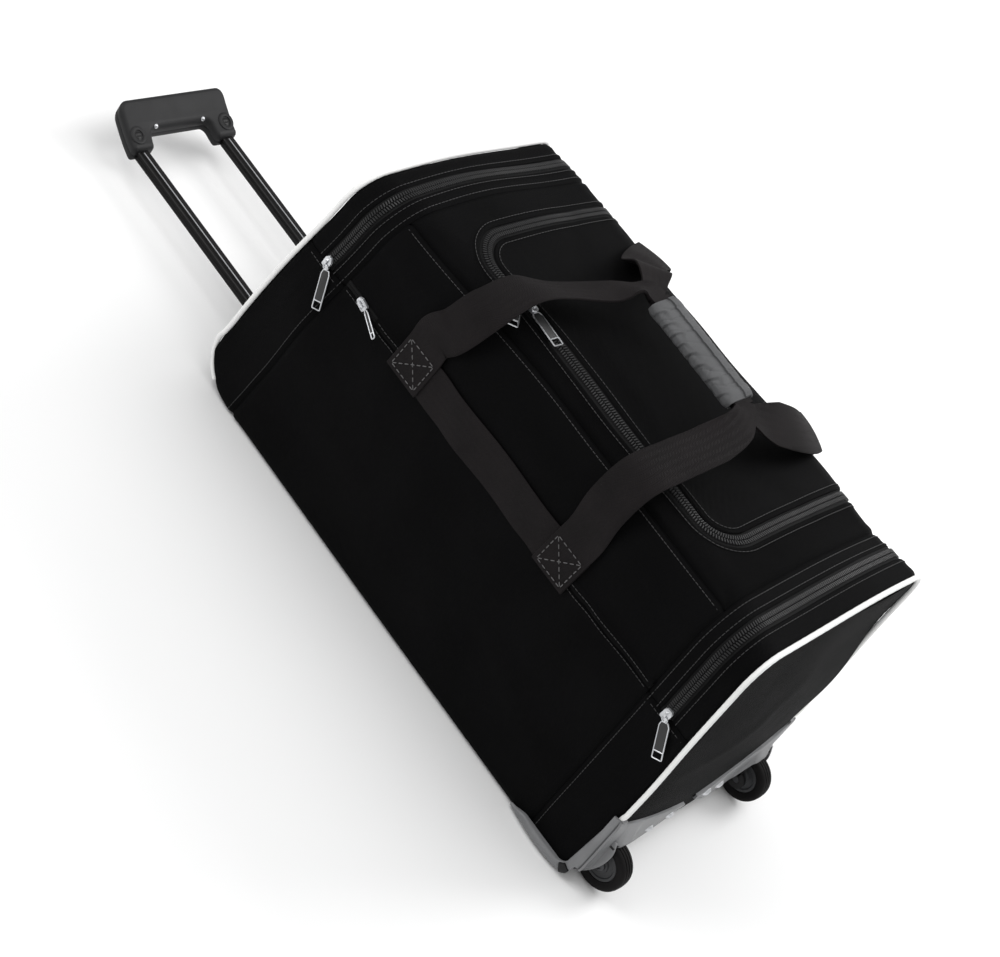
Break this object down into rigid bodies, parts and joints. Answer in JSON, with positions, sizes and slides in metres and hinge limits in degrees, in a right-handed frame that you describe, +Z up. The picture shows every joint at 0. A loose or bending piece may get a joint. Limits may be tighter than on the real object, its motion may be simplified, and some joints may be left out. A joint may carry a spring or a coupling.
{
  "type": "wheeled kit bag",
  "caption": "Soft wheeled holdall with a zipped top lid, end zips, a front pocket, carry handles joined by a padded wrap, corner wheels and a sliding tow handle.",
  "frame": {"origin": "middle of the base's underside, on the surface that the bag lies on", "axes": "+X along the bag from the tow handle to the wheels, -Y the pocket side, +Z up"},
  "size_m": [1.059, 0.352, 0.4352],
  "materials": {
    "cloth": "matt woven polyester",
    "webbing": "ribbed webbing",
    "wrap": "soft padded cloth",
    "piping": "smooth coated piping",
    "zip": "nylon coil on woven tape",
    "bright_metal": "satin nickel",
    "tube": "satin black",
    "grip": "fine grained",
    "guard": "fine grained",
    "tyre": "matt",
    "hub": "satin",
    "frame": "satin"
  },
  "bodies": {
    "bag": {"base_panel": "cloth", "pocket_panel": "cloth", "front_yoke": "cloth", "back_panel": "cloth", "back_yoke": "cloth", "top_frame": "cloth", "lid": "cloth", "lid_zip": "zip", "pocket_zip": "zip", "end_lower_front_handle": "cloth", "end_lower_back_handle": "cloth", "end_inner_handle": "cloth", "end_outer_handle": "cloth", "end_zip_handle": "zip", "end_panel_handle": "cloth", "piping_handle": "piping", "end_lower_front_wheel": "cloth", "end_lower_back_wheel": "cloth", "end_inner_wheel": "cloth", "end_outer_wheel": "cloth", "end_zip_wheel": "zip", "end_panel_wheel": "cloth", "piping_wheel": "piping", "slider_end_handle": "bright_metal", "tab_end_handle": "bright_metal", "slider_end_wheel": "bright_metal", "tab_end_wheel": "bright_metal", "slider_lid_a": "bright_metal", "tab_lid_a": "bright_metal", "slider_lid_b": "bright_metal", "tab_lid_b": "bright_metal", "slider_pocket": "bright_metal", "tab_pocket": "bright_metal", "webbing_front": "webbing", "webbing_back": "webbing", "handle_wrap": "wrap", "guide_rail_front": "frame", "guide_rail_back": "frame", "mouth_plate_front": "frame", "mouth_plate_back": "frame", "axle_front": "bright_metal", "axle_back": "bright_metal", "guard_front": "guard", "guard_back": "guard", "guard_rivet_front_1": "bright_metal", "guard_rivet_front_2": "bright_metal", "guard_rivet_back_1": "bright_metal", "guard_rivet_back_2": "bright_metal"},
    "tow_handle": {"tow_grip": "grip", "tow_rod_front": "tube", "tow_rod_back": "tube", "grip_rivet_front": "bright_metal", "grip_rivet_back": "bright_metal"},
    "wheel_front": {"tyre_front": "tyre", "hub_front": "hub"},
    "wheel_back": {"tyre_back": "tyre", "hub_back": "hub"}
  },
  "joints": [
    {"name": "handle_slide", "type": "slide", "parent": "bag", "child": "tow_handle", "axis": [1, 0, 0], "range_m": [0, 0.26]},
    {"name": "wheel_front_spin", "type": "hinge", "parent": "bag", "child": "wheel_front", "pos_m": [0.356, -0.135, 0.033], "axis": [0, 1, 0], "continuous": true},
    {"name": "wheel_back_spin", "type": "hinge", "parent": "bag", "child": "wheel_back", "pos_m": [0.356, 0.135, 0.033], "axis": [0, 1, 0], "continuous": true}
  ]
}
